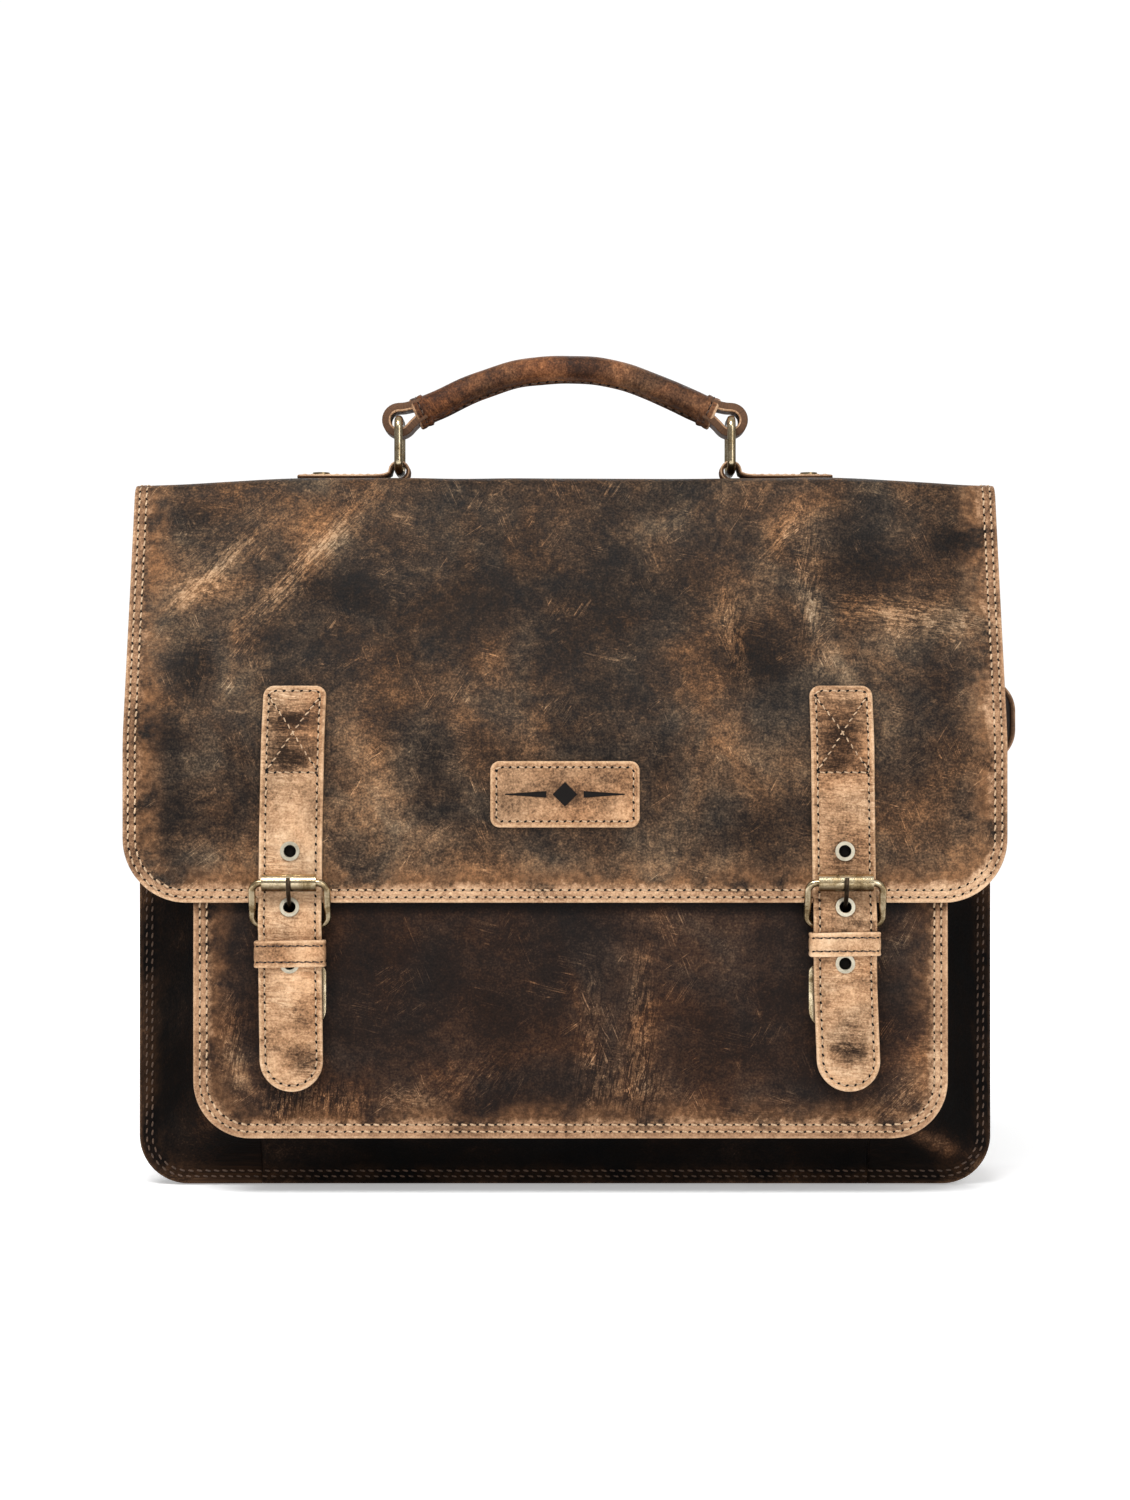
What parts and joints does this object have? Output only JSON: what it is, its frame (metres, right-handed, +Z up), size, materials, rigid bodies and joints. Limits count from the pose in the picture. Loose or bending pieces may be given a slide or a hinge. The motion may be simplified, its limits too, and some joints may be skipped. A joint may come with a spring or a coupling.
{
  "type": "satchel bag",
  "caption": "Leather satchel with a full flap, buckled straps over hidden clasps, a front pocket, a ringed top handle and side D-rings.",
  "frame": {"origin": "on the surface the bag stands on, at the middle of its width and depth", "axes": "+Z up, the front with the buckles faces -Y, +X runs to the right as seen from the front"},
  "size_m": [0.4235, 0.1349, 0.3904],
  "materials": {
    "brown_leather": "waxed pull-up leather, mottled",
    "gusset_leather": "waxed leather, almost black",
    "tan_leather": "oiled tan leather",
    "russet_leather": "oiled russet leather",
    "backing": "suede split backing",
    "lining": "cotton canvas",
    "divider": "padded canvas",
    "brass": "antique brass"
  },
  "bodies": {
    "bag_body": {"back_panel": "brown_leather", "front_panel": "brown_leather", "main_gusset_left": "gusset_leather", "main_gusset_bottom": "gusset_leather", "main_gusset_right": "gusset_leather", "main_lining": "lining", "padded_divider": "divider", "pocket_panel": "brown_leather", "pocket_gusset_left": "gusset_leather", "pocket_gusset_bottom": "gusset_leather", "pocket_gusset_right": "gusset_leather", "clasp_base_left": "brass", "clasp_base_right": "brass", "side_loop_left": "russet_leather", "side_loop_right": "russet_leather"},
    "flap_top": {"flap_top_leather": "brown_leather", "flap_top_backing": "backing", "handle_tab_left": "russet_leather", "handle_tab_right": "russet_leather", "tab_rivet_left": "brass", "tab_rivet_right": "brass"},
    "flap_front": {"flap_leather": "brown_leather", "flap_backing": "backing", "label_patch": "tan_leather", "strap_left": "tan_leather", "strap_right": "tan_leather", "eyelet_left_top": "brass", "eyelet_left_mid": "brass", "eyelet_left_low": "brass", "eyelet_right_top": "brass", "eyelet_right_mid": "brass", "eyelet_right_low": "brass", "chape_left": "tan_leather", "chape_right": "tan_leather", "clasp_catch_left": "brass", "clasp_catch_right": "brass"},
    "buckle_left": {"buckle_frame_left": "brass"},
    "roller_left": {"buckle_roller_left": "brass"},
    "prong_left": {"buckle_prong_left": "brass"},
    "keeper_loop_left": {"keeper_left": "tan_leather"},
    "ring_left": {"handle_ring_left": "brass"},
    "d_ring_body_left": {"d_ring_left": "brass"},
    "buckle_right": {"buckle_frame_right": "brass"},
    "roller_right": {"buckle_roller_right": "brass"},
    "prong_right": {"buckle_prong_right": "brass"},
    "keeper_loop_right": {"keeper_right": "tan_leather"},
    "ring_right": {"handle_ring_right": "brass"},
    "d_ring_body_right": {"d_ring_right": "brass"},
    "handle": {"handle_grip": "russet_leather", "handle_loop_left": "russet_leather", "handle_loop_right": "russet_leather"}
  },
  "joints": [
    {"name": "flap_rear_fold", "type": "hinge", "parent": "bag_body", "child": "flap_top", "pos_m": [0, 0.0655, 0.3275], "axis": [-1, 0, 0], "range_deg": [0, 180]},
    {"name": "flap_front_fold", "type": "hinge", "parent": "flap_top", "child": "flap_front", "pos_m": [0, -0.011, 0.3275], "axis": [-1, 0, 0], "range_deg": [0, 150]},
    {"name": "ring_left_tilt", "type": "hinge", "parent": "flap_top", "child": "ring_left", "pos_m": [-0.0786, 0.022, 0.3342], "axis": [0, 1, 0], "range_deg": [-60, 60]},
    {"name": "ring_right_tilt", "type": "hinge", "parent": "flap_top", "child": "ring_right", "pos_m": [0.0786, 0.022, 0.3342], "axis": [0, 1, 0], "range_deg": [-60, 60]},
    {"name": "handle_level", "type": "hinge", "parent": "ring_left", "child": "handle", "pos_m": [-0.0786, 0.022, 0.3584], "axis": [0, 1, 0], "range_deg": [-60, 60]},
    {"name": "buckle_left_swing", "type": "hinge", "parent": "flap_front", "child": "buckle_left", "pos_m": [-0.124, -0.0539, 0.123], "axis": [1, 0, 0], "range_deg": [0, 3]},
    {"name": "roller_left_spin", "type": "hinge", "parent": "buckle_left", "child": "roller_left", "pos_m": [-0.124, -0.0612, 0.1423], "axis": [1, 0, 0], "continuous": true},
    {"name": "prong_left_lift", "type": "hinge", "parent": "buckle_left", "child": "prong_left", "pos_m": [-0.124, -0.0539, 0.123], "axis": [1, 0, 0], "range_deg": [0, 4]},
    {"name": "keeper_left_slide", "type": "slide", "parent": "flap_front", "child": "keeper_loop_left", "axis": [0, 0, 1], "range_m": [-0.0017, 0.002]},
    {"name": "d_ring_left_swing", "type": "hinge", "parent": "bag_body", "child": "d_ring_body_left", "pos_m": [-0.19585, 0.0295, 0.196], "axis": [0, 1, 0], "range_deg": [0, 90]},
    {"name": "buckle_right_swing", "type": "hinge", "parent": "flap_front", "child": "buckle_right", "pos_m": [0.1262, -0.0539, 0.123], "axis": [1, 0, 0], "range_deg": [0, 3]},
    {"name": "roller_right_spin", "type": "hinge", "parent": "buckle_right", "child": "roller_right", "pos_m": [0.1262, -0.0612, 0.1423], "axis": [1, 0, 0], "continuous": true},
    {"name": "prong_right_lift", "type": "hinge", "parent": "buckle_right", "child": "prong_right", "pos_m": [0.1262, -0.0539, 0.123], "axis": [1, 0, 0], "range_deg": [0, 4]},
    {"name": "keeper_right_slide", "type": "slide", "parent": "flap_front", "child": "keeper_loop_right", "axis": [0, 0, 1], "range_m": [-0.004, 0]},
    {"name": "d_ring_right_swing", "type": "hinge", "parent": "bag_body", "child": "d_ring_body_right", "pos_m": [0.19585, 0.0295, 0.196], "axis": [0, -1, 0], "range_deg": [0, 90]}
  ],
  "couplings": [
    {"joint": "ring_right_tilt", "follows": "ring_left_tilt", "ratio": 1},
    {"joint": "handle_level", "follows": "ring_left_tilt", "ratio": -1}
  ]
}
